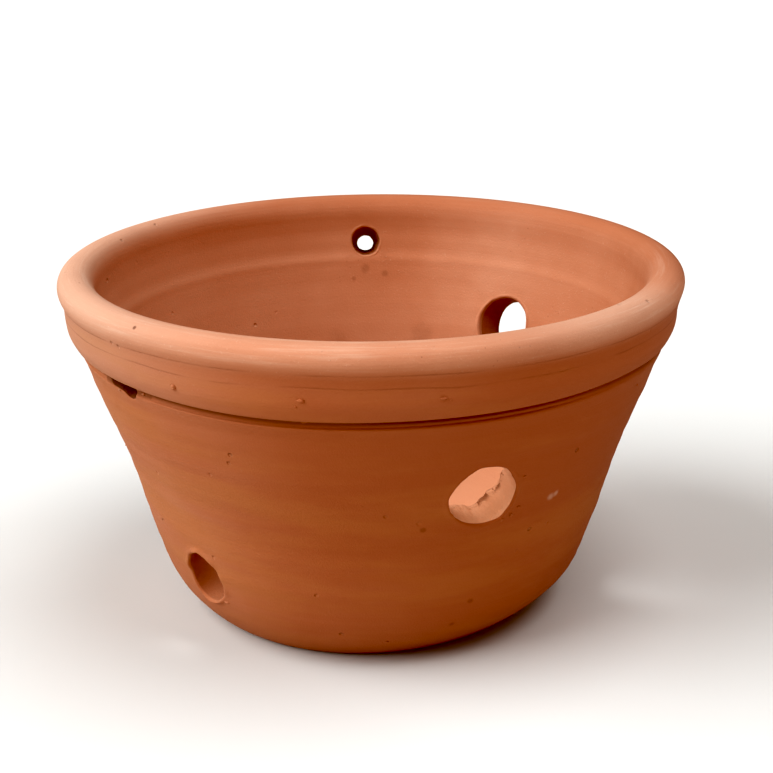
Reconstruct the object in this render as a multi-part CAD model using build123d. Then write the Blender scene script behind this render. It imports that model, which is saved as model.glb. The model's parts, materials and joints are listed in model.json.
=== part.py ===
from build123d import *
import os
from math import atan2, cos, degrees, radians, sin

# Orchid pot: a shallow flared bowl of unglazed earthenware, thrown in one piece.
# The rim has a rolled lip over a raised band, and a groove under the band.
# Two staggered rows of large holes let air reach the roots, three small holes
# under the band take hanging wires, and the floor has one drain hole.
# Frame: millimetres, +Z up, origin at the centre of the flat base. Azimuths are
# in degrees, 0 towards -Y (the front) and 90 towards +X.

# Overall
RIM_RADIUS = 100.0
HEIGHT = 113.5
FOOT_RADIUS = 56.0
FLOOR_THICKNESS = 10.0
WALL_THICKNESS = 9.4

# Outside of the wall, as (radius, height), from the heel up to the groove
LOW_HEEL = (62.8, 5.2)
HEEL = (68.2, 12.0)
BELLY = (72.8, 24.0)
WAIST = (79.2, 48.0)
FLARE = (88.1, 73.0)
SHOULDER = (94.0, 89.3)

# Groove and band under the lip
GROOVE_FLOOR = (93.6, 90.6)
BAND_EDGE = (96.0, 91.9)
BAND_LOW = (97.8, 96.6)
BAND_HIGH = (99.5, 106.0)

# Lip, as (radius, height)
LIP_OUTSIDE = (RIM_RADIUS, 109.0)
LIP_SHOULDER = (98.3, 111.9)
LIP_CREST = (94.3, HEIGHT)
LIP_BEVEL = (90.3, 112.0)
LIP_INSIDE = (88.3, 108.2)
NECK = (88.4, 102.5)

# Inside at the bottom, as (radius, height)
INNER_HEEL = (60.5, 20.0)
FLOOR_EDGE = (47.0, FLOOR_THICKNESS)

# Which way the outline runs where its curves begin and end, as (radius, height) steps
OFF_THE_FOOT = (1, 0.35)
UP_THE_HEEL = (0.5, 1)
UP_THE_WALL = (0.38, 1)
OUT_OF_THE_GROOVE = (1, 0.6)
UP_THE_BAND = (0.2, 1)
DOWN_INSIDE = (-0.15, -1)
ACROSS_THE_FLOOR = (-1, 0)

# Holes: radius, then the azimuth and height of each one on the outer face
AIR_HOLE_RADIUS = 10.5
UPPER_AIR_HOLES = [(21.6, 62.0), (142.0, 68.0), (262.0, 64.0)]
LOW_AIR_HOLE_RADIUS = 9.3
LOWER_AIR_HOLES = [(-46.0, 24.5), (76.0, 25.5), (194.0, 24.0)]
WIRE_HOLE_RADIUS = 3.2
WIRE_FLARE_RADIUS = 4.8
WIRE_FLARE_DEPTH = 2.4
WIRE_HOLES = [(-50.5, 90.2), (74.0, 91.5), (181.3, 94.0)]
DRAIN_RADIUS = 11.0

# How far a cutting tool runs past the faces it cuts
OVERSHOOT = 8.0

OUTER_WALL = [HEEL, BELLY, WAIST, FLARE, SHOULDER]


def wall_lean():
    """Angle of the flared wall from upright, in degrees."""
    return degrees(atan2(SHOULDER[0] - WAIST[0], SHOULDER[1] - WAIST[1]))


def wall_radius(height):
    """Outer radius of the wall at a height, along straight lines between the outline's points."""
    points = OUTER_WALL + [BAND_EDGE, BAND_LOW, BAND_HIGH]
    for (r0, z0), (r1, z1) in zip(points, points[1:]):
        if height <= z1:
            return r0 + (r1 - r0) * (height - z0) / (z1 - z0)
    return RIM_RADIUS


def inside_of(point):
    """The inner face's point level with a point of the outer face."""
    return (point[0] - WALL_THICKNESS, point[1])


def section():
    """Half section of the wall and floor on the XZ plane."""
    inner_wall = [inside_of(point) for point in (SHOULDER, FLARE, WAIST, BELLY)]
    with BuildSketch(Plane.XZ) as sketch:
        with BuildLine():
            Line((0, 0), (FOOT_RADIUS, 0))
            heel = Spline((FOOT_RADIUS, 0), LOW_HEEL, HEEL, tangents=[OFF_THE_FOOT, UP_THE_HEEL])
            Spline(*OUTER_WALL, tangents=[heel % 1, UP_THE_WALL])
            ThreePointArc(SHOULDER, GROOVE_FLOOR, BAND_EDGE)
            Spline(BAND_EDGE, BAND_LOW, tangents=[OUT_OF_THE_GROOVE, UP_THE_BAND])
            Line(BAND_LOW, BAND_HIGH)
            Spline(
                BAND_HIGH, LIP_OUTSIDE, LIP_SHOULDER, LIP_CREST, LIP_BEVEL, LIP_INSIDE, NECK,
                tangents=[UP_THE_BAND, DOWN_INSIDE],
            )
            Spline(NECK, *inner_wall, INNER_HEEL, FLOOR_EDGE, tangents=[DOWN_INSIDE, ACROSS_THE_FLOOR])
            Polyline(FLOOR_EDGE, (0, FLOOR_THICKNESS), (0, 0))
        make_face()
    return sketch.sketch


def outward(azimuth, height):
    """Plane on the wall's outer face, with its Z axis square to the flared wall and out of the pot."""
    a = radians(azimuth)
    lean = radians(wall_lean())
    radius = wall_radius(height)
    origin = (radius * sin(a), -radius * cos(a), height)
    normal = (cos(lean) * sin(a), -cos(lean) * cos(a), -sin(lean))
    return Plane(origin=origin, z_dir=normal)


def round_hole(azimuth, height, radius):
    """Straight cutter square to the wall, running past both faces."""
    length = WALL_THICKNESS + 2 * OVERSHOOT
    return outward(azimuth, height) * Pos(0, 0, -WALL_THICKNESS / 2) * Cylinder(radius, length)


def wire_hole(azimuth, height):
    """Cutter for a hanging wire, with the flare that the piercing tool leaves on the inside."""
    thickness = WALL_THICKNESS * cos(radians(wall_lean()))
    reach = OVERSHOOT / 2
    slope = (WIRE_FLARE_RADIUS - WIRE_HOLE_RADIUS) / WIRE_FLARE_DEPTH
    flare = Cone(WIRE_FLARE_RADIUS + slope * reach, WIRE_HOLE_RADIUS, WIRE_FLARE_DEPTH + reach)
    middle = (WIRE_FLARE_DEPTH - reach) / 2 - thickness
    return round_hole(azimuth, height, WIRE_HOLE_RADIUS) + outward(azimuth, height) * Pos(0, 0, middle) * flare


def pot():
    """The whole pot: the turned body less its holes."""
    body = revolve(section(), axis=Axis.Z)
    body -= Cylinder(DRAIN_RADIUS, 2 * (FLOOR_THICKNESS + OVERSHOOT))
    for azimuth, height in UPPER_AIR_HOLES:
        body -= round_hole(azimuth, height, AIR_HOLE_RADIUS)
    for azimuth, height in LOWER_AIR_HOLES:
        body -= round_hole(azimuth, height, LOW_AIR_HOLE_RADIUS)
    for azimuth, height in WIRE_HOLES:
        body -= wire_hole(azimuth, height)
    return body


os.makedirs("parts", exist_ok=True)
clay = pot()
export_step(clay, "parts/pot.step")
print("pot:", clay.bounding_box().size, "volume", round(clay.volume), "mm3")
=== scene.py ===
# %% [markdown]
# # A hand-thrown terracotta orchid pot
# The pot is one piece of red earthenware: a wide, low bowl turned on a wheel, with a rolled lip,
# a raised band and a groove, and then pierced by hand while the clay was leather-hard. The air
# holes let an orchid's roots breathe, and the small holes take hanging wires.
#
# The CAD model gives the true sizes. It is loaded first, and everything below is worked out from
# its box and from its record, in metres, with the base standing on Z = 0 and the front towards -Y.
# Shapes are easier to write in millimetres, so MM turns them into metres: the rim's radius is 100.

import json
from math import atan2, cos, degrees, pi, radians, sin, sqrt

import bmesh
import bpy
import numpy as np
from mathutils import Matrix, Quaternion, Vector


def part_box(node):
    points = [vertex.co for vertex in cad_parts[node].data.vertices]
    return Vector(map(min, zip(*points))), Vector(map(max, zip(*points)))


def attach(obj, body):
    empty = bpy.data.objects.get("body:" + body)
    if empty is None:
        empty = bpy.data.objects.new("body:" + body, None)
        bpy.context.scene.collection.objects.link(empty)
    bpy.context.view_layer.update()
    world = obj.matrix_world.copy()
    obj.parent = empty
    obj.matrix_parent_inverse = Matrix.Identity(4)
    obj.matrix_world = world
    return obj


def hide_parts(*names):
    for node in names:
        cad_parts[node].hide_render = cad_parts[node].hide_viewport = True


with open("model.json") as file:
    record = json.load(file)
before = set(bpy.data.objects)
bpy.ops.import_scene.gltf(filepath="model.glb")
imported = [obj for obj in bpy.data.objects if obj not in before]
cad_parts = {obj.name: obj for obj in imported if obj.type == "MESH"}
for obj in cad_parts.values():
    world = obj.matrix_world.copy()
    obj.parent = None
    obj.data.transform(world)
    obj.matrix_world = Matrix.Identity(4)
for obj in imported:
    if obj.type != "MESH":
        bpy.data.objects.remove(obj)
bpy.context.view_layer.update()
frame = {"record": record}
low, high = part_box("pot")
RIM = (high.x - low.x) / 2
TALL = high.z
MM = RIM / 100
print("rim radius", round(RIM, 4), "height", round(TALL, 4))

# %% [markdown]
# ## The camera
# A pot looks like itself from a little above, where the eye falls into the bowl and still sees
# the whole outside wall. The camera stands five rim radii away, well above the lip, with a short
# telephoto lens so that the mouth stays a calm ellipse. It is turned a touch to the right, which
# sets the pot just left of the middle, and leans by half a degree as a hand-held camera does.

# %% Place the camera
CAMERA_AWAY = 5.0 * RIM
CAMERA_ABOVE_LIP = 1.263 * RIM
LOOKS_DOWN, TURNED_RIGHT, LEANS = radians(18.88), radians(0.53), radians(0.55)

camera_data = bpy.data.cameras.new("studio_camera")
camera_data.sensor_width = 36.0
camera_data.lens = 74.2
camera_data.clip_start, camera_data.clip_end = 0.01, 20.0
camera = bpy.data.objects.new("studio_camera", camera_data)
camera.location = (0.0, -CAMERA_AWAY, TALL + CAMERA_ABOVE_LIP)
ahead = Vector((sin(TURNED_RIGHT) * cos(LOOKS_DOWN), cos(TURNED_RIGHT) * cos(LOOKS_DOWN), -sin(LOOKS_DOWN)))
camera.rotation_mode = "QUATERNION"
camera.rotation_quaternion = ahead.to_track_quat("-Z", "Y") @ Quaternion((0, 0, 1), -LEANS)
bpy.context.scene.collection.objects.link(camera)
bpy.context.scene.camera = camera
print("camera at", [round(v, 3) for v in camera.location])

# %% [markdown]
# ## The outline
# Anything turned on a wheel starts as an outline spun round an axis. This one is a closed loop:
# it leaves the drain hole, crosses the underside, climbs the outside, rolls over the lip, comes
# down the inside and runs back across the floor. Each point holds its radius, its height and the
# spacing of the mesh lines from there on, all in millimetres. The lines crowd together only
# where the shape turns quickly, at the groove and the lip, so no polygon is wasted on the plain
# wall.

# %% Points of the outline
UNDERSIDE = [
    (10.9, 1.4, 0.6), (11.4, 0.3, 0.8), (12.8, 0.0, 5.0), (30.0, 0.0, 6.0), (48.0, 0.0, 3.0),
    (54.5, 0.0, 1.2),
]
HEEL_AND_WALL = [
    (57.4, 0.5, 1.1), (60.2, 2.4, 1.2), (62.9, 5.0, 1.3), (65.7, 8.3, 1.3), (68.2, 12.0, 1.35),
    (70.4, 16.6, 1.35), (72.8, 23.8, 1.35), (75.0, 31.6, 1.35), (77.0, 39.5, 1.35), (79.2, 47.5, 1.35),
    (81.8, 55.5, 1.35), (84.7, 63.5, 1.35), (87.6, 71.4, 1.35), (90.2, 78.4, 1.35), (92.1, 84.0, 1.1),
    (93.4, 87.2, 0.5),
]
LIP = [
    (97.8, 95.9, 0.75), (98.25, 98.6, 0.8), (98.55, 101.4, 0.8), (98.85, 103.6, 0.7),
    (99.25, 105.3, 0.65), (99.75, 107.0, 0.65), (100.0, 108.8, 0.65), (99.7, 110.4, 0.65),
    (98.8, 111.8, 0.7), (97.0, 112.9, 0.75), (94.5, 113.4, 0.75), (92.1, 113.1, 0.7),
    (90.2, 112.0, 0.7), (88.9, 110.1, 0.7), (88.3, 107.6, 0.8),
]
INSIDE = [
    (88.2, 104.4, 1.0), (87.9, 100.6, 1.1), (87.0, 96.4, 1.1), (86.0, 92.9, 0.9), (85.0, 90.9, 0.9),
    (84.4, 88.6, 1.4), (81.9, 80.6, 1.6), (78.8, 72.5, 1.6), (75.6, 64.5, 1.6), (72.4, 56.4, 1.6),
    (69.9, 48.0, 1.6), (68.2, 40.0, 1.6), (66.2, 31.6, 1.6), (63.5, 24.7, 1.5), (60.2, 19.4, 1.5),
    (56.4, 14.9, 1.6), (51.8, 11.6, 1.9), (46.0, 10.2, 2.4), (36.0, 9.9, 3.2), (24.0, 9.9, 3.0),
    (14.5, 10.0, 1.0), (12.0, 9.8, 0.6), (11.1, 9.1, 1.4), (10.8, 6.0, 1.6),
]
print("points:", len(UNDERSIDE + HEEL_AND_WALL + LIP + INSIDE))

# %% [markdown]
# The groove under the band was pressed in by hand, so it isn't the same all the way round. On
# the left it is a clean channel with two sharp edges. At the front a strip of clay stands up
# inside it, and on the right the tool barely bit. These three cuts have the same number of
# points, so the surface can blend from one to the next round the pot.

# %% Three cuts of the groove
GROOVES = {
    "channel": [
        (93.95, 88.35, 0.25), (93.85, 88.75, 0.25), (93.3, 89.15, 0.35), (93.15, 90.1, 0.35),
        (93.35, 91.0, 0.25), (95.1, 91.5, 0.25), (95.9, 91.9, 0.3), (96.7, 93.1, 0.6),
    ],
    "double": [
        (93.95, 88.4, 0.25), (93.8, 88.8, 0.25), (93.4, 89.2, 0.35), (94.15, 90.1, 0.35),
        (93.45, 91.0, 0.25), (95.1, 91.5, 0.25), (95.9, 91.9, 0.3), (96.7, 93.1, 0.6),
    ],
    "soft": [
        (94.0, 88.5, 0.25), (94.1, 88.95, 0.25), (94.1, 89.45, 0.35), (94.0, 90.2, 0.35),
        (93.8, 90.9, 0.25), (94.8, 91.5, 0.25), (95.7, 92.1, 0.3), (96.65, 93.3, 0.6),
    ],
}
outlines = {name: UNDERSIDE + HEEL_AND_WALL + cut + LIP + INSIDE for name, cut in GROOVES.items()}
print({name: len(points) for name, points in outlines.items()})

# %% [markdown]
# A smooth curve through the points could come from a Blender curve object. A short
# Catmull-Rom function does the same with plain numbers and keeps the three outlines in step. The
# centripetal kind is used because it never loops or overshoots between uneven points, and a wheel
# leaves no such wiggle.

# %% Smooth loop through the points
FINE = 16


def smooth_loop(points):
    """FINE samples for each side of a closed outline, on a centripetal Catmull-Rom curve."""
    p = np.array([point[:2] for point in points])[:, None, :]
    before, start, end, after = (np.roll(p, shift, 0) for shift in (1, 0, -1, -2))

    def knot_gap(one, other):
        return np.sqrt(np.linalg.norm(other - one, axis=2))[:, :, None]

    t0 = np.zeros((len(p), 1, 1))
    t1 = knot_gap(before, start)
    t2 = t1 + knot_gap(start, end)
    t3 = t2 + knot_gap(end, after)
    t = t1 + (t2 - t1) * np.linspace(0, 1, FINE, endpoint=False)[None, :, None]
    a1 = ((t1 - t) * before + (t - t0) * start) / (t1 - t0)
    a2 = ((t2 - t) * start + (t - t1) * end) / (t2 - t1)
    a3 = ((t3 - t) * end + (t - t2) * after) / (t3 - t2)
    b1 = ((t2 - t) * a1 + (t - t0) * a2) / (t2 - t0)
    b2 = ((t3 - t) * a2 + (t - t1) * a3) / (t3 - t1)
    return (((t2 - t) * b1 + (t - t1) * b2) / (t2 - t1)).reshape(-1, 2)


curves = {name: smooth_loop(points) for name, points in outlines.items()}
run_line = curves["channel"]
steps = np.linalg.norm(np.roll(run_line, -1, 0) - run_line, axis=1)
RUN = np.concatenate([[0.0], np.cumsum(steps)])
ROUND_TRIP = RUN[-1]
print("length of the outline", round(ROUND_TRIP, 1), "mm")

# %% [markdown]
# "Run" is how far along the outline a place is. Run and azimuth together name every place on the
# pot, as latitude and longitude do on a globe, and the next helpers turn them into a radius, a
# height and a direction square to the clay.

# %% Radius, height and outward direction at a run
def along(values, run):
    """A periodic column of samples read at any run."""
    return np.interp(np.mod(run, ROUND_TRIP), RUN, np.append(values, values[0]))


tangent = np.roll(run_line, -1, 0) - np.roll(run_line, 1, 0)
tangent /= np.linalg.norm(tangent, axis=1)[:, None]
SQUARE = np.stack([tangent[:, 1], -tangent[:, 0]], 1)


def round_the_pot(angle, stations):
    """A value given at a few angles in degrees, carried smoothly through them and back round."""
    places = np.array([s[0] for s in stations], float)
    values = np.array([s[1] for s in stations], float)
    places = np.concatenate([places[-1:] - 360, places, places[:2] + 360])
    values = np.concatenate([values[-1:], values, values[:2]])
    slopes = (values[2:] - values[:-2]) / (places[2:] - places[:-2])
    at = np.mod(angle - places[1], 360) + places[1]
    k = np.clip(np.searchsorted(places, at, side="right") - 1, 1, len(places) - 3)
    width = places[k + 1] - places[k]
    part = (at - places[k]) / width
    rise = part * part * (3 - 2 * part)
    lead = part * (1 - part) ** 2
    trail = part * part * (1 - part)
    turning = width * (slopes[k - 1] * lead - slopes[k] * trail)
    return values[k] * (1 - rise) + values[k + 1] * rise + turning


CREST = int(np.argmax(run_line[:, 1]))
RUN_CREST = float(RUN[CREST])
UNDERFOOT, DRAIN_EDGE = 5 * FINE, 3 * FINE


def run_at(height, inside):
    """The run of the wall's outer or inner face at a height in millimetres."""
    part = slice(CREST, len(run_line) - DRAIN_EDGE) if inside else slice(UNDERFOOT, CREST)
    face = run_line[part]
    return float(RUN[:-1][part][np.argmin(np.abs(face[:, 1] - height))])


print("outer face at 60 mm:", round(run_at(60, False), 1), "inner face:", round(run_at(60, True), 1))
print("lip crest:", round(RUN_CREST, 1))

# %% [markdown]
# ## Unevenness
# A perfect lathe shape looks like plastic. The clay was leaned on, squeezed and trimmed: the
# band rises and falls by a millimetre, the neck under the lip is hollower on the left, the heel
# was shaved on the right, and fingers left slow spirals. A spiral shifts by a whole number of
# turns each time round, so it meets itself without a seam.

# %% How the hand-made pot departs from the outline
# Each table gives millimetres at azimuths in degrees, and GROOVE_MIX gives shares.
BAND_HEIGHT = [
    (-180, 0.2), (-110, 0.3), (-55, 0.35), (-20, -0.7), (5, -0.35), (30, 0.05), (52, 0.45), (64, 0.1),
    (120, -0.2),
]
NECK_HOLLOW = [(-180, 0.1), (-85, 0.4), (-40, 0.2), (20, 0.1), (80, 0.1), (130, 0.0)]
HEEL_SHAVED = [
    (-180, 0.3), (-100, -0.2), (-30, -0.45), (0, 0.3), (28, 1.5), (52, 2.2), (85, 1.6), (130, 0.5),
]
HEEL_SLIMMED = [(-180, 0.0), (-40, 0.0), (0, 0.1), (30, 0.6), (60, 1.2), (90, 1.1), (130, 0.3)]
GROOVE_MIX = {
    "channel": [(-180, 0.5), (-120, 0.9), (-60, 1.0), (-12, 1.0), (6, 0.3), (20, 0.0), (150, 0.2)],
    "double": [
        (-180, 0.2), (-60, 0.0), (-12, 0.0), (6, 0.7), (22, 0.9), (44, 0.15), (60, 0.0), (150, 0.2),
    ],
}
SPIRALS = [
    # size outside and inside, climb for every turn, starts, and phase
    (0.05, 0.03, 11.0, 1, 0.4),
    (0.04, 0.02, 6.2, -1, 2.0),
    (0.12, 0.06, 37.0, 2, 1.1),
]
OUT_OF_ROUND = 0.0012
print("tables for", len(SPIRALS), "spirals, the band, the neck, the heel and the groove")


# %% [markdown]
# Small helpers turn those tables into shape. A bump is a soft hill round one height, and a ramp
# fades a change in or out, so that nothing starts with a step.

# %% Hills, ramps, spirals and shares
def bump(value, centre, width):
    """A smooth hill of height 1 at the centre."""
    return np.exp(-(((value - centre) / width) ** 2))


def ramp(distance, span):
    """0 at the start of a span, 1 at its end and beyond."""
    return np.clip(distance / span, 0, 1)


def finger_marks(azimuth, run, outer):
    """Swelling of the clay in millimetres, from ridges that climb as the pot turns."""
    total = 0.0
    for size_outside, size_inside, climb, starts, phase in SPIRALS:
        ridge = np.sin(2 * pi * run / climb + starts * np.radians(azimuth) + phase)
        total = total + np.where(outer, size_outside, size_inside) * ridge
    return total


def groove_shares(azimuth):
    """How much of each cut of the groove there is at an azimuth. They add up to 1."""
    shares = {name: round_the_pot(azimuth, stations) for name, stations in GROOVE_MIX.items()}
    shares["soft"] = np.clip(1 - shares["channel"] - shares["double"], 0, 1)
    whole = sum(shares.values())
    return {name: share / whole for name, share in shares.items()}


print("groove at the front:", {name: round(float(v), 2) for name, v in groove_shares(0.0).items()})


# %% [markdown]
# The next function is the whole pot: it takes an azimuth and a run and gives the place in space.
# Everything that is modelled later, from the holes to the crumbs, asks it where the clay is. It
# starts from the outline, swells it with the finger marks, and then moves the band, slims and
# shaves the heel, and squeezes the bowl a little out of round.

# %% A place on the clay
def clay(azimuth, run):
    """Places in millimetres on the finished surface, for azimuths in degrees and runs."""
    azimuth, run = np.broadcast_arrays(np.asarray(azimuth, float), np.asarray(run, float))
    share = groove_shares(azimuth)
    radius = sum(share[name] * along(curves[name][:, 0], run) for name in curves)
    height = sum(share[name] * along(curves[name][:, 1], run) for name in curves)
    outer = np.mod(run, ROUND_TRIP) < RUN_CREST

    swell = finger_marks(azimuth, run, outer)
    swell *= ramp(height - 3.0, 12.0) * ramp(TALL / MM - 1.0 - height, 4.0)
    swell -= np.where(outer, round_the_pot(azimuth, NECK_HOLLOW) * bump(height, 102.5, 3.8), 0)
    radius = radius + swell * along(SQUARE[:, 0], run)
    height = height + swell * along(SQUARE[:, 1], run)
    height = height + np.where(outer, round_the_pot(azimuth, BAND_HEIGHT) * bump(height, 91.6, 6.5), 0)

    low_down = outer & (radius > 40)
    slimmed = round_the_pot(azimuth, HEEL_SLIMMED) * bump(height, 9.0, 15.0)
    radius = radius - np.where(low_down, slimmed, 0)
    lift = round_the_pot(azimuth, HEEL_SHAVED) * ramp(radius - 50, 6.0) * ramp(15 - height, 13.0)
    height = height + np.where(low_down, np.maximum(lift, -height), 0)

    squeeze = OUT_OF_ROUND * (1 - np.cos(2 * np.radians(azimuth - 35)))
    radius = radius * (1 - squeeze * ramp(height, 60))
    height = np.maximum(height, 0.0)
    a = np.radians(azimuth)
    return np.stack([radius * np.sin(a), -radius * np.cos(a), height], -1)


print("crest at the front", clay(0.0, RUN_CREST).round(2))

# %% [markdown]
# ## The mesh lines
# The body is a grid: columns run round the pot and rows run along the outline. Each side of the
# outline is divided by its own spacing, which is why the spacing was written next to the points.

# %% Rows and columns
COLUMNS = 320
column_azimuths = np.arange(COLUMNS) * 360.0 / COLUMNS - 180.0

rows = []
for k, point in enumerate(outlines["channel"]):
    start, end = RUN[k * FINE], RUN[(k + 1) * FINE]
    parts = max(1, round((end - start) / point[2]))
    rows += [start + (end - start) * n / parts for n in range(parts)]
row_runs = np.array(rows)
ROWS = len(row_runs)
print("rows", ROWS, "columns", COLUMNS, "quads", ROWS * COLUMNS)

# %% [markdown]
# ## The pierced holes
# A Boolean modifier would cut the holes in one step, but it leaves slivers and a razor edge, and
# pierced clay has neither: it has a rounded, torn edge with a little burr. So the grid is opened
# round each hole and refilled with rings of vertices that follow the hole's own outline, curl
# over its edge, line the tunnel and come out on the far face.
#
# Each hole has its place from the record. Its mouth and its inner end are radii in millimetres at
# a few angles, counted from the right and turning upwards as seen from outside. "curl" is the
# radius of the worn edge, "burr" the height of the clay pushed up round it, "torn" how ragged it
# is, and "ring" how many vertices go round. The lining's mark paints light and shade into it: 1
# is pale, painted light where light falls into the tunnel, and -1 is dark, painted shade. "shift"
# moves a mouth off the hole's own axis.

# %% Where the holes are
mounts = {mount["name"]: mount for mount in frame["record"]["mounts"]}
openings = {opening["name"]: opening for opening in frame["record"]["physics"]["openings"]}


def middle_of(name):
    """Azimuth in degrees and point in millimetres of a mount or an opening in the record."""
    if name in mounts:
        point = np.array(mounts[name]["pos_m"]) / MM
    else:
        lowest, highest = np.array(openings[name]["box_m"])
        point = (lowest + highest) / 2 / MM
    return degrees(atan2(point[0], -point[1])), point


HOLE_SHAPES = {
    "air_hole_front": dict(
        mouth=[
            (0, 11.0), (25, 10.2), (60, 10.3), (100, 10.4), (118, 9.8), (140, 9.5), (158, 9.7),
            (178, 10.3), (205, 10.4), (240, 10.6), (268, 11.1), (290, 12.1), (305, 12.7), (320, 12.3),
            (340, 11.5),
        ],
        inner=[
            (0, 10.6), (40, 10.9), (75, 10.2), (120, 10.4), (160, 9.9), (200, 10.6), (240, 11.2),
            (262, 10.7), (285, 11.6), (302, 11.1), (325, 11.5), (345, 10.6),
        ],
        curl=0.8, inner_curl=0.5, burr=0.15, torn=0.3, inner_torn=1.9, ring=84, fresh=1.0),
    "air_hole_back_right": dict(
        mouth=[(0, 8.8), (30, 9.8), (60, 10.4), (90, 9.8), (120, 9.3), (180, 9.6), (240, 9.4), (300, 9.0)],
        inner=[(0, 9.9), (45, 10.1), (90, 10.3), (135, 10.1), (180, 10.0), (240, 10.5), (300, 10.0)],
        curl=0.9, inner_curl=0.8, burr=0.2, torn=0.15, ring=80, fresh=-0.25, shift=(-2.6, -0.2)),
    "air_hole_left": dict(
        mouth=[(0, 10.6), (70, 10.1), (130, 10.5), (200, 10.2), (250, 11.0), (310, 10.4)],
        inner=[(0, 10.3), (50, 11.0), (110, 10.1), (170, 10.7), (230, 10.4), (300, 11.3)],
        curl=0.8, inner_curl=0.8, burr=0.25, torn=0.3, ring=80, fresh=0.5),
    "low_air_hole_front_left": dict(
        mouth=[
            (0, 7.2), (20, 7.3), (40, 7.9), (60, 8.4), (76, 8.6), (88, 9.2), (104, 8.3), (130, 8.0),
            (158, 7.9), (180, 8.1), (200, 8.7), (218, 9.8), (236, 10.8), (252, 11.0), (268, 10.4),
            (285, 9.4), (305, 8.6), (325, 8.0), (343, 7.5),
        ],
        inner=[(0, 9.2), (60, 9.8), (120, 9.3), (180, 9.7), (240, 10.4), (300, 9.5)],
        curl=0.6, inner_curl=0.8, burr=0.4, torn=0.1, ring=84, fresh=-0.45),
    "low_air_hole_right": dict(
        mouth=[(0, 8.8), (60, 9.0), (120, 8.7), (180, 8.9), (240, 9.4), (300, 9.1)],
        inner=[(0, 9.0), (70, 9.7), (140, 9.2), (220, 9.8), (300, 9.1)],
        curl=0.6, inner_curl=0.8, burr=0.0, torn=0.15, ring=76, fresh=-0.2),
    "low_air_hole_back": dict(
        mouth=[(0, 9.4), (70, 9.0), (140, 9.6), (210, 9.9), (280, 9.2)],
        inner=[(0, 9.3), (60, 9.9), (130, 9.0), (200, 9.6), (270, 9.8)],
        curl=0.8, inner_curl=0.8, burr=0.2, torn=0.25, ring=76, fresh=-0.2),
    "wire_hole_front_left": dict(
        mouth=[
            (0, 4.2), (20, 2.9), (45, 2.2), (75, 2.2), (105, 2.6), (130, 3.9), (148, 6.4), (160, 9.2),
            (171, 10.6), (181, 10.4), (191, 9.0), (201, 6.8), (214, 4.6), (235, 3.5), (262, 3.6),
            (288, 4.6), (308, 5.6), (326, 6.2), (345, 5.6),
        ],
        inner=[(0, 4.3), (60, 3.9), (120, 4.4), (180, 4.1), (240, 4.6), (300, 4.0)],
        curl=0.3, inner_curl=0.7, burr=0.05, torn=0.25, ring=84, fresh=-1.0),
    "wire_hole_right": dict(
        mouth=[(0, 3.4), (60, 3.7), (120, 3.3), (180, 3.9), (240, 3.5), (300, 3.6)],
        inner=[(0, 4.8), (70, 5.1), (140, 4.6), (210, 5.0), (290, 4.7)],
        curl=0.4, inner_curl=0.9, burr=0.0, torn=0.1, ring=48, fresh=-1.0),
    "wire_hole_back": dict(
        mouth=[(0, 3.0), (60, 2.8), (120, 2.9), (180, 3.1), (240, 3.1), (300, 3.1)],
        inner=[(0, 5.2), (60, 5.0), (120, 5.1), (180, 5.3), (240, 5.6), (300, 5.4)],
        curl=0.5, inner_curl=0.5, burr=0.1, torn=0.15, ring=52, fresh=-0.35),
}
for name in HOLE_SHAPES:
    print(name, "at azimuth", round(middle_of(name)[0], 1))

# %% [markdown]
# Torn clay is rough at two scales: a few chips a millimetre across and a fine grit between them.
# A sum of sines with fixed random phases gives both, closes on itself round the hole, and comes
# out the same on every run.

# %% Rough edge of a hole
dice = np.random.default_rng(11)


def rough_edge(angles, amount, lobes):
    """A roughness that repeats after a full turn, in millimetres."""
    edge = np.zeros_like(angles)
    for waves in lobes:
        edge += np.sin(waves * angles + dice.uniform(0, 2 * pi)) * dice.uniform(0.5, 1.0) / sqrt(waves)
    return amount * edge


print("rough edges ready")

# %% [markdown]
# The first job at each hole is to find where its axis meets both faces. Seen on the half section
# the axis is a straight line square to the outer face, so the meeting points are the samples of
# the outline closest to that line. The groove and the band turn the clay's face up and down by
# the wire holes, so those take the lean of the wall itself.

# %% Both ends of a hole's axis
WIRE_HOLE_LEAN = radians(19.7)
NEAR_THE_MIDDLE = 9


def hole_axis(name):
    """Azimuth, runs of both face centres, and the outward axis as a (radial, up) pair."""
    azimuth, point = middle_of(name)
    outside = run_at(point[2], False)
    axis = np.array([along(SQUARE[:, 0], outside), along(SQUARE[:, 1], outside)])
    if name.startswith("wire"):
        axis = np.array([cos(WIRE_HOLE_LEAN), -sin(WIRE_HOLE_LEAN)])
    middle = np.array([np.hypot(point[0], point[1]), point[2]])
    away = run_line - middle
    off_line = np.abs(away[:, 0] * axis[1] - away[:, 1] * axis[0])
    side = away @ axis
    found = []
    for wanted in (side > 1, side < -1):
        near = wanted & (np.abs(side) < NEAR_THE_MIDDLE)
        found.append(float(RUN[:-1][near][np.argmin(off_line[near])]))
    return azimuth, found[0], found[1], axis


for name in HOLE_SHAPES:
    azimuth, outer_run, inner_run, axis = hole_axis(name)
    print(name, "outer", round(outer_run, 1), "inner", round(inner_run, 1), "axis", axis.round(2))

# %% [markdown]
# Now the rings. On the two faces a ring vertex is a place given by its distance and angle from
# the hole's centre, so it lies exactly on the uneven clay. Round the edge the ring also sinks
# along the axis by a quarter circle, which makes the worn curl, and a small burr lifts it where
# the punch pushed clay out of the way.

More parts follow.
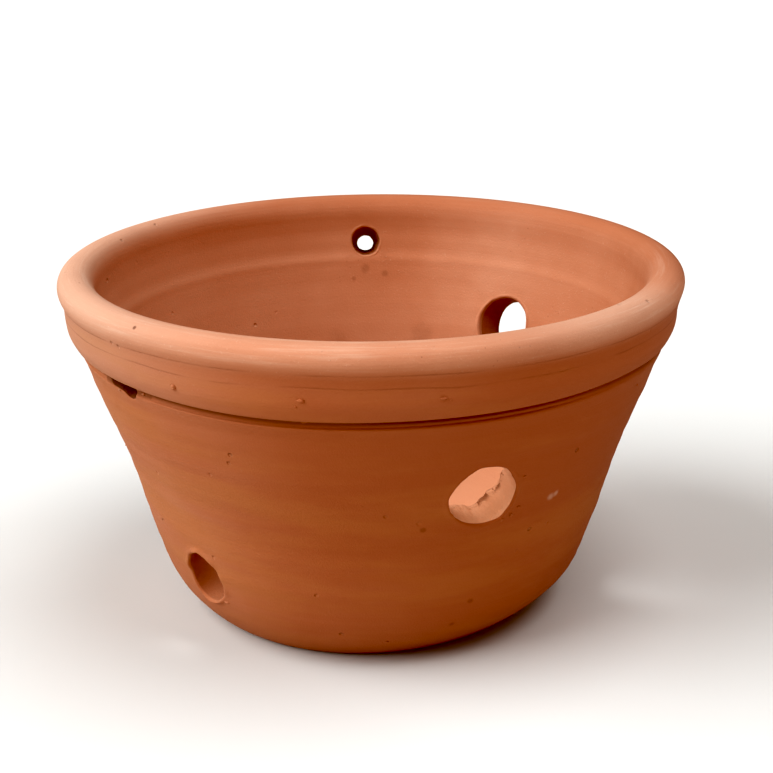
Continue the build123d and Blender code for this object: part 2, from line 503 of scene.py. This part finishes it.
# %% Rings of one hole
# Shares of the way: from the border to the curl, over the curl, and through the wall.
FACE_RINGS = (0.0, 0.2, 0.38, 0.55, 0.7, 0.84)
CURL_STEPS = (0.0, 0.25, 0.5, 0.75, 1.0)
TUNNEL_STEPS = (0.15, 0.32, 0.5, 0.68, 0.85)
COARSE_LOBES, FINE_LOBES = (3, 5, 7, 8), (11, 14, 17, 21, 25)


def hole_rings(name, reach):
    """All rings of a hole from its outer face to its inner face, each an array of places."""
    shape = HOLE_SHAPES[name]
    azimuth, outer_run, inner_run, axis = hole_axis(name)
    turn = np.arange(shape["ring"]) * 2 * pi / shape["ring"]
    right, up = shape.get("shift", (0.0, 0.0))
    a = radians(azimuth)
    outward = np.array([axis[0] * sin(a), -axis[0] * cos(a), axis[1]])

    def on_face(distance, run, sign):
        """Places on the outer face, or on the inner one where the sign is negative."""
        radius = along(run_line[:, 0], run)
        x = distance * np.cos(turn) + right * (sign > 0)
        y = distance * np.sin(turn) + up * (sign > 0)
        return clay(azimuth + np.degrees(x / radius), run + sign * y)

    def edge_of(shape_radii, curl, run, sign, torn):
        """Rings of one face, from the open clay to the end of its curl."""
        edge = round_the_pot(np.degrees(turn), shape_radii)
        edge = edge + rough_edge(turn, torn * 0.5, COARSE_LOBES)
        edge = edge + rough_edge(turn, torn * 0.35, FINE_LOBES)
        roll = curl * (1 + 0.35 * rough_edge(turn, 1.0, (2, 3, 5)))
        burr = shape["burr"] * np.clip(1 + rough_edge(turn, 1.0, (2, 4, 6, 9)), 0, 2.2)
        rings = []
        for part in FACE_RINGS:
            distance = reach + (edge + roll - reach) * part
            lifted = burr * bump(part, 1.0, 0.25)
            rings.append(on_face(distance, run, sign) + lifted[:, None] * outward * sign)
        for part in CURL_STEPS:
            quarter = part * pi / 2
            distance = edge + roll * (1 - sin(quarter))
            sunk = roll * (1 - cos(quarter)) - burr * (1 - part)
            rings.append(on_face(distance, run, sign) - sunk[:, None] * outward * sign)
        return rings

    front = edge_of(shape["mouth"], shape["curl"], outer_run, 1, shape["torn"])
    inner_torn = shape.get("inner_torn", shape["torn"] * 1.3)
    back = edge_of(shape["inner"], shape["inner_curl"], inner_run, -1, inner_torn)[::-1]
    lining = []
    for part in TUNNEL_STEPS:
        ring = front[-1] * (1 - part) + back[0] * part
        centre = ring.mean(0)
        drag = rough_edge(turn, 0.10, (4, 7, 11, 16)) + 0.06 * np.sin(9 * turn + 7 * part)
        spoke = ring - centre
        ring = ring + spoke / np.linalg.norm(spoke, axis=1)[:, None] * (drag * sin(pi * part))[:, None]
        lining.append(ring)
    return front + lining + back, len(front), turn


print("rings in each hole:", 2 * (len(FACE_RINGS) + len(CURL_STEPS)) + len(TUNNEL_STEPS))

# %% [markdown]
# ## Sewing the surface together
# Faces are quads between one row and the next. Where a hole is, the quads of a rectangle are left
# out, and the rectangle's border is zipped to the first ring with triangles: at each step the
# zip advances on whichever side is behind in angle, so the two sides may have any number of
# vertices.

# %% Zip and quilt
def zip_loops(one, one_angles, other, other_angles):
    """Triangles between two loops of vertex numbers that turn the same way."""
    def in_order(loop, angles):
        angles = np.mod(angles, 2 * pi)
        start = int(np.argmin(angles))
        loop, angles = np.roll(loop, -start), np.roll(angles, -start)
        return np.append(loop, loop[0]), np.append(angles, angles[0] + 2 * pi)

    a, a_turn = in_order(one, one_angles)
    b, b_turn = in_order(other, other_angles)
    i = j = 0
    made = []
    while i < len(a) - 1 or j < len(b) - 1:
        if j == len(b) - 1 or (i < len(a) - 1 and a_turn[i + 1] <= b_turn[j + 1]):
            made.append((a[i], a[i + 1], b[j]))
            i += 1
        else:
            made.append((a[i], b[j + 1], b[j]))
            j += 1
    return made


def quilt(one, other):
    """Quads between two rings with the same number of vertices."""
    return [(one[k - 1], one[k], other[k], other[k - 1]) for k in range(len(one))]


print("zip and quilt ready")

# %% [markdown]
# Two numbers travel with every vertex for the material to read later: its run, and a mark that is
# 0 on the open clay and takes the hole's lining mark in its lining, which the material paints as
# light above 0 and as shade below 0. A rectangle of the grid is left open at each hole, and its
# border's vertices are listed in the same turning sense as a ring.

# %% Vertices of the grid and of the rings
places = [clay(column_azimuths[None, :], row_runs[:, None]).reshape(-1, 3)]
run_marks = [np.repeat(row_runs, COLUMNS)]
hole_marks = [np.zeros(ROWS * COLUMNS)]
open_cell = np.zeros((ROWS, COLUMNS), bool)
faces = []


def add_ring(ring, run_mark, hole_mark):
    """Adds one ring's vertices and returns their numbers."""
    first = sum(len(part) for part in places)
    places.append(ring)
    run_marks.append(run_mark)
    hole_marks.append(np.full(len(ring), hole_mark))
    return np.arange(first, first + len(ring))


def border(azimuth, run, reach, sign):
    """Opens the grid round a hole. Returns the border's vertex numbers and their angles."""
    radius = along(run_line[:, 0], run)
    swing = degrees(reach / radius)
    step = 360.0 / COLUMNS
    j0 = int(np.floor((azimuth - swing + 180) / step))
    j1 = int(np.ceil((azimuth + swing + 180) / step))
    i0 = int(np.searchsorted(row_runs, run - reach)) - 1
    i1 = int(np.searchsorted(row_runs, run + reach))
    open_cell[i0:i1, np.arange(j0, j1) % COLUMNS] = True
    low_row, high_row = (i0, i1) if sign > 0 else (i1, i0)
    climb = 1 if high_row > low_row else -1
    corners = [(low_row, j) for j in range(j0, j1)]
    corners += [(i, j1) for i in range(low_row, high_row, climb)]
    corners += [(high_row, j) for j in range(j1, j0, -1)]
    corners += [(i, j0) for i in range(high_row, low_row, -climb)]
    loop = np.array([i * COLUMNS + j % COLUMNS for i, j in corners])
    x = np.array([radians(j * step - 180 - azimuth) * radius for _, j in corners])
    y = np.array([sign * (row_runs[i] - run) for i, _ in corners])
    return loop, np.arctan2(y, x)


print("grid vertices", len(places[0]))

# %% [markdown]
# The rectangle reaches a little past the hole's widest radius on both faces, far enough for the
# rings to spread out evenly. In a hole whose lining is painted light, the mark rises from the mouth
# to the inner end, so that the material can put painted shade on the inner edge only.

# %% Fit each hole into the grid
SPARE_CLAY = 1.6
BORDER_GAP = 0.4

for name, shape in HOLE_SHAPES.items():
    azimuth, outer_run, inner_run, axis = hole_axis(name)
    moved = max(abs(step) for step in shape.get("shift", (0.0, 0.0)))
    widest = max(r for _, r in shape["mouth"] + shape["inner"]) + shape["curl"] + moved
    reach = widest + SPARE_CLAY
    rings, faced, turn = hole_rings(name, reach - BORDER_GAP - moved)
    numbers = []
    for k, ring in enumerate(rings):
        inside_face = k >= len(rings) - faced
        run = inner_run if inside_face else outer_run
        climb_in_run = (ring[:, 2] - ring[:, 2].mean()) * (-1 if inside_face else 1)
        depth = min(max((k - faced) / (len(rings) - 2 * faced), 0.0), 1.0)
        mark = shape["fresh"] * (0.6 + 0.4 * depth if shape["fresh"] > 0 else 1.0)
        in_tunnel = faced - 2 < k < len(rings) - faced + 2
        numbers.append(add_ring(ring, run + climb_in_run, mark if in_tunnel else 0.0))
    outer_loop, outer_angles = border(azimuth, outer_run, reach, 1)
    inner_loop, inner_angles = border(azimuth, inner_run, reach, -1)
    faces += zip_loops(outer_loop, outer_angles, numbers[0], turn)
    for one, other in zip(numbers, numbers[1:]):
        faces += quilt(one, other)
    faces += zip_loops(numbers[-1], turn, inner_loop, inner_angles)
print("hole faces", len(faces))

# %% [markdown]
# With the holes in place the rest of the grid is quilted row by row, and the vertices that no
# face uses are dropped.

# %% Build the pot
for i in range(ROWS):
    ahead_row = (i + 1) % ROWS
    for j in range(COLUMNS):
        if not open_cell[i, j]:
            k = (j + 1) % COLUMNS
            here, ahead = i * COLUMNS, ahead_row * COLUMNS
            faces.append((here + j, here + k, ahead + k, ahead + j))

points = np.concatenate(places)
used = np.zeros(len(points), bool)
used[[v for face in faces for v in face]] = True
new_number = np.cumsum(used) - 1
faces = [tuple(int(new_number[v]) for v in face) for face in faces]
points = points[used]
marks = {"run": np.concatenate(run_marks)[used], "hole": np.concatenate(hole_marks)[used]}

pot_mesh = bpy.data.meshes.new("pot_clay")
pot_mesh.from_pydata((points * MM).tolist(), [], faces)
pot_mesh.polygons.foreach_set("use_smooth", np.ones(len(faces), bool))
for name, values in marks.items():
    attribute = pot_mesh.attributes.new(name, "FLOAT", "POINT")
    attribute.data.foreach_set("value", values.astype(np.float32))
pot_mesh.validate()
pot = bpy.data.objects.new("pot_clay", pot_mesh)
bpy.context.scene.collection.objects.link(pot)
triangles = sum(len(f) - 2 for f in faces)
print("vertices", len(points), "faces", len(faces), "triangles", triangles)

# %% [markdown]
# A pot that is sewn by hand is worth a check. Every edge of a closed surface belongs to exactly two
# faces, and its volume comes out positive when the faces all look outwards.

# %% Check that the surface is closed
survey = bmesh.new()
survey.from_mesh(pot_mesh)
loose = sum(not edge.is_manifold for edge in survey.edges)
print("open edges", loose, "volume in litres", round(survey.calc_volume(signed=True) * 1000, 4))
survey.free()

# %% [markdown]
# ## Crumbs and nubs
# A wet sponge and a trimming tool leave crumbs of clay behind, which stick and are fired on:
# mostly by the pierced holes and on the band. Each one here is a small ball, squashed and
# dented, and sunk by nearly half into the wall, so no bump map has to pretend at its outline.

# %% Model the crumbs
CRUMBS = [
    # azimuth in degrees, height, and size in millimetres
    (-46.4, 91.0, 1.4), (-45.3, 89.6, 1.0), (-52.6, 88.0, 0.8), (-34.3, 97.2, 1.5), (-11.4, 98.3, 1.35),
    (-12.3, 96.4, 0.6), (11.2, 98.2, 1.1), (12.4, 97.6, 0.55), (-11.6, 91.0, 1.1), (-48.5, 33.6, 0.8),
    (-40.8, 17.2, 0.9), (31.2, 55.2, 0.7), (29.8, 52.6, 0.9), (27.6, 51.3, 0.8), (30.6, 66.0, 0.6),
    (60.0, 84.0, 0.6), (-70.0, 60.0, 0.6), (100.0, 95.0, 0.9), (150.0, 98.0, 0.8), (-140.0, 96.0, 1.0),
    (205.0, 30.0, 0.7), (170.0, 55.0, 0.6), (-110.0, 48.0, 0.7), (120.0, 40.0, 0.8), (3.0, 9.0, 0.7),
]


def add_crumb(target, azimuth, height, size):
    """A dented clay ball, sunk in the outer face of the wall."""
    run = run_at(height, False)
    seat = clay(azimuth, run)
    a = radians(azimuth)
    slope = float(along(SQUARE[:, 0], run)), float(along(SQUARE[:, 1], run))
    outward = np.array([slope[0] * sin(a), -slope[0] * cos(a), slope[1]])
    sideways = np.array([cos(a), sin(a), 0.0])
    upward = np.cross(outward, sideways)
    ball = bmesh.ops.create_icosphere(target, subdivisions=3, radius=1.0)["verts"]
    stretch = dice.uniform(0.8, 1.5), dice.uniform(0.6, 1.0), dice.uniform(0.55, 0.85)
    phases = dice.uniform(0, 2 * pi, 6)
    for vertex in ball:
        v = np.array(vertex.co)
        dent = 1 + 0.10 * sin(3.1 * v[0] + phases[0]) + 0.12 * sin(4.3 * v[1] + phases[1])
        dent += 0.08 * sin(6.2 * v[2] + phases[2]) + 0.06 * sin(8.0 * (v[0] + v[1]) + phases[3])
        v = v * dent * stretch * size * 0.6
        spot = seat + v[0] * sideways + v[1] * upward + (v[2] + 0.06 * size) * outward
        vertex.co = (spot * MM).tolist()


crumb_shape = bmesh.new()
for azimuth, height, size in CRUMBS:
    add_crumb(crumb_shape, azimuth, height, size)
for face in crumb_shape.faces:
    face.smooth = True
crumb_mesh = bpy.data.meshes.new("crumbs")
crumb_shape.to_mesh(crumb_mesh)
crumb_shape.free()
RUN_ON_THE_BAND = run_at(97.5, False)
for name, value in (("run", RUN_ON_THE_BAND), ("hole", 0.0)):
    attribute = crumb_mesh.attributes.new(name, "FLOAT", "POINT")
    attribute.data.foreach_set("value", np.full(len(crumb_mesh.vertices), value, np.float32))
crumbs = bpy.data.objects.new("crumbs", crumb_mesh)
bpy.context.scene.collection.objects.link(crumbs)
print("crumbs", len(CRUMBS))

# %% [markdown]
# ## Shader arithmetic
# A procedural material is mostly sums: this noise times that mask, plus a little grain. Written
# with Blender's own calls every plus sign takes four lines, so a small class wraps an output
# socket and lets Python's operators add the Math nodes. One function makes every node: it sets
# the node's settings first, and then gives its sockets their values or links.

# %% A socket that can be added and multiplied
class Field:
    """An output socket with arithmetic."""

    def __init__(self, tree, socket):
        self.tree, self.socket = tree, socket

    def maths(self, operation, one, other=0.0):
        """A Math node on two values, with this field as one of them."""
        return node(self.tree, "ShaderNodeMath", 0, {"operation": operation}, {0: one, 1: other})

    def __add__(self, other):
        return self.maths("ADD", self, other)

    def __radd__(self, other):
        return self.maths("ADD", other, self)

    def __sub__(self, other):
        return self.maths("SUBTRACT", self, other)

    def __rsub__(self, other):
        return self.maths("SUBTRACT", other, self)

    def __mul__(self, other):
        return self.maths("MULTIPLY", self, other)

    def __rmul__(self, other):
        return self.maths("MULTIPLY", other, self)

    def __abs__(self):
        return self.maths("ABSOLUTE", self)

    def at_least(self, other):
        return self.maths("MAXIMUM", self, other)

    def between(self, start, end):
        """0 at start and 1 at end, smooth between them and flat outside. Start may be above end."""
        settings = {"interpolation_type": "SMOOTHSTEP"}
        sockets = {"Value": self, "From Min": start, "From Max": end}
        if start > end:
            sockets = {"Value": self, "From Min": end, "From Max": start, "To Min": 1.0, "To Max": 0.0}
        return node(self.tree, "ShaderNodeMapRange", 0, settings, sockets)


def node(tree, kind, output, settings, sockets):
    """Adds a node: its settings first, then its sockets' values or links. Returns one output."""
    made = tree.nodes.new(kind)
    for name, value in settings.items():
        setattr(made, name, value)
    for name, value in sockets.items():
        if isinstance(value, Field):
            tree.links.new(value.socket, made.inputs[name])
        else:
            made.inputs[name].default_value = value
    return Field(tree, made.outputs[output])


print("a field can", ", ".join(name for name in vars(Field) if not name.startswith("_")))

# %% [markdown]
# Three kinds of node are used again and again. Noise gives soft clouds, and a Voronoi texture's
# distance to the nearest of its scattered points gives round spots. Colours are blended by a Mix
# node, because a Math node would turn them grey. A Mix node has a set of sockets for each kind of
# data, all with the same names, so its colour sockets are picked by number.

# %% Noise, spots and blends
MIX_FACTOR, MIX_COLOUR_A, MIX_COLOUR_B, MIX_COLOUR_OUT = 0, 6, 7, 2


def noise(where, scale, detail=3.0, roughness=0.5):
    """Soft noise about 0.5."""
    sockets = {"Vector": where, "Scale": scale, "Detail": detail, "Roughness": roughness}
    return node(where.tree, "ShaderNodeTexNoise", 0, {}, sockets)


def spots(where, scale, start, end):
    """Round spots, 1 in the middle and 0 outside, cut from the distance to scattered points."""
    sockets = {"Vector": where, "Scale": scale}
    away = node(where.tree, "ShaderNodeTexVoronoi", "Distance", {"feature": "F1"}, sockets)
    return away.between(start, end)


def blend(factor, one, other):
    """A colour that goes from one to the other as the factor goes from 0 to 1."""
    sockets = {MIX_FACTOR: factor, MIX_COLOUR_A: one, MIX_COLOUR_B: other}
    return node(factor.tree, "ShaderNodeMix", MIX_COLOUR_OUT, {"data_type": "RGBA"}, sockets)


print("noise, spots and blends ready")

# %% [markdown]
# ## Terracotta
# Unglazed terracotta is matte, and its colour comes from iron in the clay. Fired pots are never
# one colour: the kiln's air makes broad cloudy patches, the potter's wet hand leaves faint
# streaks that run round the pot, and salts dry to a chalky bloom on the lip. The streaks need a
# direction that follows the turning, so their noise is stretched by using the run along the
# outline as one coordinate, which every vertex carries.

# %% Coordinates for the clay
terracotta = bpy.data.materials.new("terracotta")
terracotta.use_nodes = True
tree = terracotta.node_tree
surface = tree.nodes["Principled BSDF"]

place = node(tree, "ShaderNodeTexCoord", "Object", {}, {})
run = node(tree, "ShaderNodeAttribute", "Fac", {"attribute_name": "run"}, {})
hole = node(tree, "ShaderNodeAttribute", "Fac", {"attribute_name": "hole"}, {})
x_side, y_side, up = (node(tree, "ShaderNodeSeparateXYZ", axis, {}, {0: place}) for axis in "XYZ")


def turned(across, around):
    """Coordinates for streaks: how fast they change, per millimetre of run and per metre around."""
    sockets = {0: x_side * around, 1: y_side * around, 2: run * across}
    return node(tree, "ShaderNodeCombineXYZ", 0, {}, sockets)


print("coordinates ready, nodes so far", len(tree.nodes))

# %% [markdown]
# The colour starts as brick orange and is pulled paler and darker by the clouds and the streaks.
# The streaks are weaker inside, where a wet rib smoothed them. Sand and lime in the clay show as
# pale and dark specks.

# %% Fired clay
BRICK = (0.48, 0.212, 0.122, 1)
DEEP = (0.40, 0.150, 0.074, 1)
PALE = (0.55, 0.28, 0.178, 1)
CHALK_AND_PAINTED_LIGHT = (0.63, 0.48, 0.38, 1)
SOOT_AND_SHADE = (0.12, 0.035, 0.016, 1)

inside = run.between(RUN_CREST + 4, RUN_CREST + 12)
smoothed_inside = 1 - inside * 0.6
clouds = noise(place, 16.0, 4.0, 0.55)
streaks = noise(turned(0.35, 9.0), 1.0, 4.0, 0.6) * 0.3
fine_streaks = noise(turned(1.6, 22.0), 1.0, 3.0, 0.6) * 0.12
average_streak = (0.3 + 0.12) / 2
warmth = clouds + (streaks + fine_streaks - average_streak) * smoothed_inside - 0.5
colour = blend(warmth.between(0.02, -0.34), BRICK, DEEP)
colour = blend(warmth.between(-0.05, 0.32), colour, PALE)

grain = noise(place, 1500.0, 4.0, 0.65)
pale_specks = grain.between(0.60, 0.75)
dark_specks = spots(place, 420.0, 0.14, 0.04) * noise(place, 50.0, 2.0).between(0.56, 0.66)
colour = blend(pale_specks * 0.35, colour, CHALK_AND_PAINTED_LIGHT)
colour = blend(dark_specks * 0.35, colour, SOOT_AND_SHADE)
print("nodes so far", len(tree.nodes))

# %% [markdown]
# The outside is painted darker and redder than the bowl, partly as the clay's own tone and partly
# as painted shade on the wall that leans out over the floor, with ochre clouds. It is least so by
# the left of the foot, and on the left, where the key light falls, which is painted light. The
# masks are all made from the run, which tells the crest, the band and the wall apart, and from the
# sides of the pot.

# %% Redder outside, partly painted shade
WALL_RED_AND_SHADE = (0.34, 0.112, 0.050, 1)
OCHRE = (0.42, 0.175, 0.070, 1)

outside = run.between(RUN_CREST - 8, RUN_CREST - 14)
wall = run.between(RUN_CREST - 24, RUN_CREST - 30)
# Painted light: the left, where the key light falls, is spared most of the painted shade.
painted_light_left = x_side.between(-10 * MM, -80 * MM) * 0.5
paler_foot = up.between(50 * MM, 15 * MM) * x_side.between(40 * MM, -20 * MM) * 0.18
redness_and_shade = (outside * 0.80 + wall * 0.10) * (1 - painted_light_left) * (1 - paler_foot)
colour = blend(redness_and_shade, colour, WALL_RED_AND_SHADE)
ochre = noise(turned(0.06, 11.0), 1.0, 4.0, 0.6).between(0.44, 0.66) * outside
colour = blend(ochre * 0.4, colour, OCHRE)
print("nodes so far", len(tree.nodes))

# %% [markdown]
# Salts in the water that a pot soaks up dry on its lip as a chalky bloom. It lies in streaks on
# the front of the crest and more evenly on its right. The crest's left and the left of the band,
# where the key light falls, are painted paler too, and that part is painted light, not bloom.
# The back of the crest has hardly any and is redder. Inside, the left wall, which lies in shade,
# is painted a little paler, as painted light.

# %% Chalky lip, and painted light on its left
crest = run.between(RUN_CREST - 14, RUN_CREST - 5) * run.between(RUN_CREST + 10, RUN_CREST + 3)
key_lit_left = x_side.between(-30 * MM, -90 * MM)
back_edge = y_side.between(-60 * MM, 0.0) * (1 - key_lit_left)
colour = blend(crest * back_edge * 0.65, colour, WALL_RED_AND_SHADE)

front = y_side.between(40 * MM, -70 * MM)
front_right = y_side.between(-30 * MM, -60 * MM) * x_side.between(20 * MM, 70 * MM)
salt_streaks = noise(turned(0.6, 26.0), 1.0, 5.0, 0.7).between(0.50, 0.70)
# The terms for the left of the crest and of the band are painted light where the key light falls.
bloom_and_painted_light = (salt_streaks * 0.20 + 0.09) * (front * 0.8 + 0.2) + key_lit_left * 0.28 + front_right * 0.24
band_painted_light = outside * (1 - crest) * (1 - wall) * key_lit_left * 0.15
colour = blend(crest * bloom_and_painted_light + band_painted_light, colour, CHALK_AND_PAINTED_LIGHT)
# Painted light: the inner left wall, which lies in shade, is painted paler.
colour = blend(inside * x_side.between(30 * MM, -50 * MM) * 0.5, colour, PALE)
print("nodes so far", len(tree.nodes))

# %% [markdown]
# A grain of sand caught under the rib scratches a hairline round the band. Its run wanders a
# little and the line fades in and out. The groove is painted dark, as painted shade in the recess
# under the band, most of all on the left where the groove is a clean channel.

# %% Hairlines, and painted shade in the groove
GROOVE_SHADE = (0.17, 0.060, 0.026, 1)


def rib_mark(height, wobble):
    """A hairline that a rib scratched round the outside, faint here and there."""
    round_here = turned(0.0, 0.25 * height)
    off = run - run_at(height, False) + (noise(round_here, 1.0, 2.0) - 0.5) * wobble
    return abs(off).between(0.4, 0.05) * noise(round_here, 1.7, 3.0).between(0.35, 0.6)


hairlines = rib_mark(105.2, 1.2) * 0.24 + rib_mark(101.2, 3.5) * 0.22
colour = blend(hairlines, colour, SOOT_AND_SHADE)

groove = run_at(90.4, False)
in_groove = run.between(groove - 1.3, groove - 0.2) * run.between(groove + 1.4, groove + 0.5)
left_half = x_side.between(50 * MM, 0.0)
# Painted shade in the groove, darker on the left.
colour = blend(in_groove * (left_half * 0.4 + 0.25), colour, GROOVE_SHADE)
print("nodes so far", len(tree.nodes))

# %% [markdown]
# Some holes are painted as light falls in them: a lining that light reaches is painted pale, as
# pale as the painted light on the floor of the bowl, and its inner edge is flecked with painted
# shade in its small nicks. A lining that lies in shade is painted dark, as painted shade. The mark
# of a hole carries this: above 0 it is painted light, near 1 it is the inner edge, and below 0 it
# is painted shade.

# %% Painted light and shade in the hole linings and on the bowl floor
PAINTED_LIGHT_CLAY = (0.70, 0.38, 0.235, 1)
NICK_SHADE = (0.24, 0.075, 0.028, 1)

fresh = hole.between(0.0, 0.55)
# Painted light: the floor of the bowl, lit from above, is painted pale.
lit_bowl_floor = inside * up.between(45 * MM, 22 * MM)
colour = blend((lit_bowl_floor * 0.75).at_least(fresh), colour, PAINTED_LIGHT_CLAY)
# Painted shade in the nicks of a lit lining's inner edge.
nick_shade = noise(place, 330.0, 2.0, 0.6).between(0.49, 0.54) * hole.between(0.86, 0.99)
colour = blend(nick_shade * 0.7, colour, NICK_SHADE)
# Painted shade: linings that lie in shade are darkened.
colour = blend(hole.between(0.0, -1.0) * 0.7, colour, SOOT_AND_SHADE)
print("nodes so far", len(tree.nodes))

# %% [markdown]
# Last come the marks of use. Rust and water have stained the bowl under the back wire hole, the
# outside has a few small scuffs, one of them pale, and the lip has a dark nick. Each is made from
# the distance to a place on the clay, roughened with noise.

# %% Stains and scuffs
def smudge(azimuth, height, size, inner):
    """A soft ragged mask on the inner or the outer wall, as wide as the size in millimetres."""
    middle = Vector(clay(azimuth, run_at(height, inner))) * MM
    settings = {"operation": "DISTANCE"}
    away = node(tree, "ShaderNodeVectorMath", "Value", settings, {0: place, 1: middle})
    ragged = away + (noise(place, 260.0, 3.0) - 0.5) * size * 0.9 * MM
    return ragged.between(size * MM, size * 0.3 * MM)


SMUDGES = [
    # strength, colour, on the inside, and the azimuth, height and size of each smudge
    (0.22, SOOT_AND_SHADE, True, [(181.5, 87.5, 2.2), (176.5, 85.5, 1.8), (184.5, 84.0, 1.2)]),
    (0.12, SOOT_AND_SHADE, True, [(190.0, 60.0, 7.0), (166.0, 64.0, 6.0)]),
    (0.35, SOOT_AND_SHADE, False, [(10.0, 52.0, 1.3), (23.4, 23.0, 1.4), (19.5, 14.5, 1.2)]),
    (0.35, CHALK_AND_PAINTED_LIGHT, False, [(40.0, 55.0, 2.0), (41.5, 55.4, 1.6)]),
    (0.70, SOOT_AND_SHADE, False, [(-42.4, 112.0, 0.9)]),
]
for strength, shade, inner, group in SMUDGES:
    mask = sum(smudge(*spot, inner) for spot in group)
    colour = blend(mask * strength, colour, shade)
tree.links.new(colour.socket, surface.inputs["Base Color"])
print("nodes so far", len(tree.nodes))

# %% [markdown]
# Sand in the clay makes it rough to the touch. The bump adds, from large to small, the lines of
# the turning rib, the grain, open pits and the torn drag marks in the holes. Heights are real
# millimetres, so a pit is as deep here as on the pot.

# %% Roughness and relief
rib_lines = noise(turned(1.1, 14.0), 1.0, 2.0, 0.5) * 0.07
hair_lines = noise(turned(3.2, 30.0), 1.0, 2.0, 0.5) * 0.02
pits = spots(place, 150.0, 0.14, 0.04) * noise(place, 60.0, 1.0).between(0.55, 0.68)
drag_marks = abs(hole) * noise(place, 700.0, 3.0, 0.7)
relief = (rib_lines + hair_lines) * smoothed_inside + grain * 0.12
relief = relief - hairlines * 0.3 - pits * 0.5 + drag_marks * 0.4
bumped = node(tree, "ShaderNodeBump", 0, {}, {"Strength": 1.0, "Distance": MM, "Height": relief})
tree.links.new(bumped.socket, surface.inputs["Normal"])

roughness = 0.72 + grain * 0.2 + clouds * 0.1
tree.links.new(roughness.socket, surface.inputs["Roughness"])
surface.inputs["Specular IOR Level"].default_value = 0.25
print("nodes in all", len(tree.nodes))

# %% [markdown]
# Both pieces are the same clay. They ride the pot's one body, and the sewn mesh stands in for the
# plain CAD pot.

# %% Put the clay on
for piece in (pot, crumbs):
    piece.data.materials.append(terracotta)
    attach(piece, "root")
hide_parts("pot")
print("pieces", pot.name, crumbs.name)

# %% [markdown]
# ## Studio
# A pale floor that runs to the horizon, and a dim even sky. The floor isn't pure white, because
# it throws its light up on the wall, which leans out over it.

# %% Floor and world
SPAN = 400 * RIM
corners = [(-SPAN, -SPAN, 0), (SPAN, -SPAN, 0), (SPAN, SPAN, 0), (-SPAN, SPAN, 0)]
floor_mesh = bpy.data.meshes.new("floor")
floor_mesh.from_pydata(corners, [], [(0, 1, 2, 3)])
floor = bpy.data.objects.new("floor", floor_mesh)
bpy.context.scene.collection.objects.link(floor)
floor_paint = bpy.data.materials.new("pale_floor")
floor_paint.use_nodes = True
paint = floor_paint.node_tree.nodes["Principled BSDF"]
paint.inputs["Base Color"].default_value = (0.64, 0.61, 0.58, 1)
paint.inputs["Roughness"].default_value = 1.0
paint.inputs["Specular IOR Level"].default_value = 0.0
floor_mesh.materials.append(floor_paint)

world = bpy.data.worlds.new("studio")
bpy.context.scene.world = world
world.use_nodes = True
sky = world.node_tree.nodes["Background"]
sky.inputs["Color"].default_value = (1.0, 0.98, 0.96, 1)
sky.inputs["Strength"].default_value = 0.28
print("floor", round(2 * SPAN), "m wide, sky strength", round(sky.inputs["Strength"].default_value, 2))

# %% [markdown]
# A big soft key light and a lower window light stand on the left, and a third light hangs above
# the right. They fill the bowl and the lip, while the wall is left in half shade with a low warm
# fill, like the light that a wooden table throws back. All are sun lamps with a wide angle: their
# light is as soft as a big window's, and it doesn't fade towards the horizon.

# %% Lights
LIGHTS = [
    # name, azimuth and elevation in degrees, strength, width in degrees, colour
    ("key", -74, 41, 3.6, 50, (0.92, 1.0, 1.05)),
    ("window", -82, 12, 1.1, 60, (0.70, 1.0, 1.12)),
    ("overhead", 75, 71, 2.2, 45, (0.95, 1.0, 1.04)),
    ("warm fill", 15, 6, 0.95, 50, (1.0, 0.5, 0.2)),
]


def soft_sun(name, azimuth, elevation, strength, wide, colour):
    """A distant light that shines on the pot from an azimuth and an elevation."""
    data = bpy.data.lights.new(name, "SUN")
    data.energy, data.angle, data.color = strength, radians(wide), colour
    light = bpy.data.objects.new(name, data)
    a, e = radians(azimuth), radians(elevation)
    towards = Vector((sin(a) * cos(e), -cos(a) * cos(e), sin(e)))
    light.location = towards * 10 * RIM
    light.rotation_mode = "QUATERNION"
    light.rotation_quaternion = (-towards).to_track_quat("-Z", "Y")
    bpy.context.scene.collection.objects.link(light)


for light in LIGHTS:
    soft_sun(*light)
print("lights", [light[0] for light in LIGHTS])

# %% [markdown]
# Cameras deepen the dark tones a little, which is why fired clay looks richer in a picture than
# in a plain linear render. A gamma below one and a small black level do the same on Blender's
# Standard view.

# %% View
view = bpy.context.scene.view_settings
view.view_transform = "Standard"
view.gamma = 0.8
view.use_curve_mapping = True
view.curve_mapping.black_level = (0.05, 0.05, 0.05)
print("view", view.view_transform, round(view.gamma, 2))

# %% [markdown] That is the whole scene.

# %% Finish
print("scene built")
